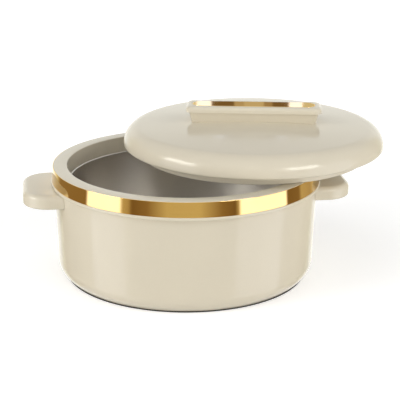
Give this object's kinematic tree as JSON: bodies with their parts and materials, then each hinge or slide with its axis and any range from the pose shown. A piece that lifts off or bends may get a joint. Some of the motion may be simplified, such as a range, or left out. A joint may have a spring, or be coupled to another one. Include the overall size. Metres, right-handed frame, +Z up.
{
  "type": "insulated serving casserole",
  "caption": "Round insulated chapati casserole: double-walled pot with a steel bowl, a metallic rim band and side lugs, and a domed lift-off lid with a low block handle, off-centre on the rim.",
  "frame": {"origin": "centre of the base on the table, on the pot's upright axis", "axes": "+Z up along the pot's axis, +X through the right side lug, +Y away from the front"},
  "size_m": [0.3334, 0.2677, 0.1477],
  "materials": {
    "cream_plastic": "gloss",
    "gold_trim": "polished",
    "bowl_steel": "satin",
    "screw_steel": "satin",
    "foot_rubber": "matte",
    "seal_rubber": "matte",
    "foam": "matte"
  },
  "bodies": {
    "pot": {"outer_shell": "cream_plastic", "base_cover": "cream_plastic", "foot_ring": "foot_rubber", "base_screws": "screw_steel", "base_fill_plug": "cream_plastic", "steel_bowl": "bowl_steel", "bowl_seal": "seal_rubber", "foam_jacket": "foam", "rim_collar": "cream_plastic", "gold_band": "gold_trim", "handle_right": "cream_plastic", "handle_cover_right": "cream_plastic", "handle_screws_right": "screw_steel", "handle_left": "cream_plastic", "handle_cover_left": "cream_plastic", "handle_screws_left": "screw_steel"},
    "lid": {"lid_shell": "cream_plastic", "lid_liner": "cream_plastic", "lid_fill_plug": "cream_plastic", "lid_foam": "foam", "lid_handle": "cream_plastic", "lid_handle_inlay": "gold_trim", "lid_handle_screws": "screw_steel", "lid_handle_washers": "screw_steel"}
  },
  "joints": [
    {"name": "lid_lift", "type": "slide", "parent": "pot", "child": "lid", "axis": [0, 0, 1], "range_m": [0, 0.15]}
  ]
}
